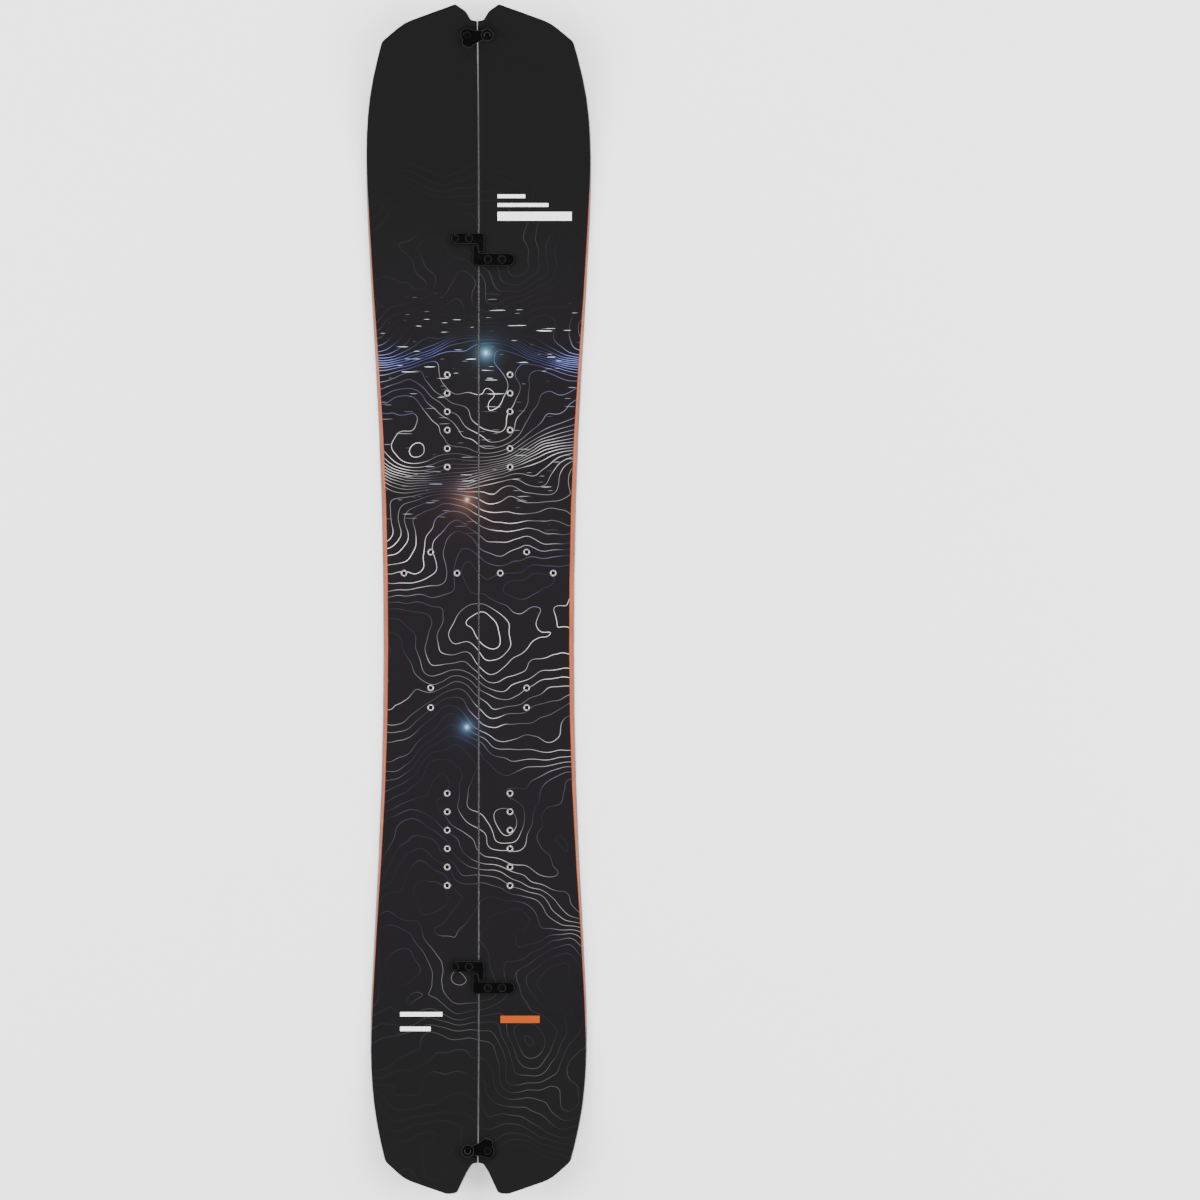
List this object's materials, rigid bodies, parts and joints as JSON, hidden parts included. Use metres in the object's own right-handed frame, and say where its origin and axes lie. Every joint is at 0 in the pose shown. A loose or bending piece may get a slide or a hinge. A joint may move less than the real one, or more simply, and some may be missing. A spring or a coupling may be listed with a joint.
{
  "type": "splitboard",
  "caption": "Directional splitboard: two snowboard halves held by hooks over the seam and a swivelling clip at each tip.",
  "frame": {"origin": "middle of the board on the surface it lies on, at the seam", "axes": "+Y along the seam towards the nose, +X towards the right half, +Z out of the topsheet"},
  "size_m": [0.31, 1.6194, 0.0679],
  "materials": {
    "topsheet": "matt black printed sheet with fine contour lines",
    "base": "sintered black plastic, brushed lengthwise",
    "laminate": "glass cloth in epoxy",
    "wood": "strip core",
    "sidewall": "milled orange plastic",
    "inner_sidewall": "milled black plastic",
    "spacer": "black plastic",
    "edge_steel": "ground steel",
    "guard_steel": "bead blasted steel",
    "insert_steel": "stainless steel",
    "hook_aluminium": "black anodised",
    "screw_steel": "blackened steel",
    "clip_black": "black anodised, satin",
    "brass": "bright brass"
  },
  "bodies": {
    "left_half": {"left_topsheet": "topsheet", "left_upper_laminate": "laminate", "left_core": "wood", "left_nose_spacer": "spacer", "left_tail_spacer": "spacer", "left_lower_laminate": "laminate", "left_base": "base", "left_outer_sidewall": "sidewall", "left_inner_sidewall": "inner_sidewall", "left_outer_edge": "edge_steel", "left_inner_edge": "edge_steel", "left_nose_guard": "guard_steel", "left_tail_guard": "guard_steel", "left_oval_nut": "brass", "left_front_binding_inserts": "insert_steel", "left_rear_binding_inserts": "insert_steel", "left_touring_inserts": "insert_steel", "left_front_hook_nuts": "edge_steel", "left_rear_hook_nuts": "edge_steel", "left_front_hook": "hook_aluminium", "left_front_hook_screw_1": "screw_steel", "left_front_hook_screw_2": "screw_steel", "left_rear_hook": "hook_aluminium", "left_rear_hook_screw_1": "screw_steel", "left_rear_hook_screw_2": "screw_steel", "nose_clip_pivot_bolt": "screw_steel", "nose_clip_pivot_nut": "edge_steel", "tail_clip_post": "clip_black", "tail_clip_post_nut": "edge_steel"},
    "right_half": {"right_topsheet": "topsheet", "right_upper_laminate": "laminate", "right_core": "wood", "right_nose_spacer": "spacer", "right_tail_spacer": "spacer", "right_lower_laminate": "laminate", "right_base": "base", "right_outer_sidewall": "sidewall", "right_inner_sidewall": "inner_sidewall", "right_outer_edge": "edge_steel", "right_inner_edge": "edge_steel", "right_nose_guard": "guard_steel", "right_tail_guard": "guard_steel", "right_oval_nut": "brass", "right_front_binding_inserts": "insert_steel", "right_rear_binding_inserts": "insert_steel", "right_touring_inserts": "insert_steel", "right_front_hook_nuts": "edge_steel", "right_rear_hook_nuts": "edge_steel", "right_front_hook": "hook_aluminium", "right_front_hook_screw_1": "screw_steel", "right_front_hook_screw_2": "screw_steel", "right_rear_hook": "hook_aluminium", "right_rear_hook_screw_1": "screw_steel", "right_rear_hook_screw_2": "screw_steel", "nose_clip_post": "clip_black", "nose_clip_post_nut": "edge_steel", "tail_clip_pivot_bolt": "screw_steel", "tail_clip_pivot_nut": "edge_steel"},
    "nose_clip": {"nose_clip_lever": "clip_black"},
    "tail_clip": {"tail_clip_lever": "clip_black"}
  },
  "joints": [
    {"name": "split_slide", "type": "slide", "parent": "left_half", "child": "right_half", "axis": [0.2079, -0.9781, 0], "range_m": [0, 0.014]},
    {"name": "nose_clip_swivel", "type": "hinge", "parent": "left_half", "child": "nose_clip", "pos_m": [-0.0136, 0.771, 0.05368], "axis": [0, 0.3379, -0.9412], "range_deg": [0, 115]},
    {"name": "tail_clip_swivel", "type": "hinge", "parent": "right_half", "child": "tail_clip", "pos_m": [0.0136, -0.7545, 0.03718], "axis": [0, -0.2679, -0.9634], "range_deg": [0, 115]}
  ],
  "couplings": [
    {"joint": "nose_clip_swivel", "follows": "split_slide", "rad_per_m": 143},
    {"joint": "tail_clip_swivel", "follows": "split_slide", "rad_per_m": 143}
  ]
}
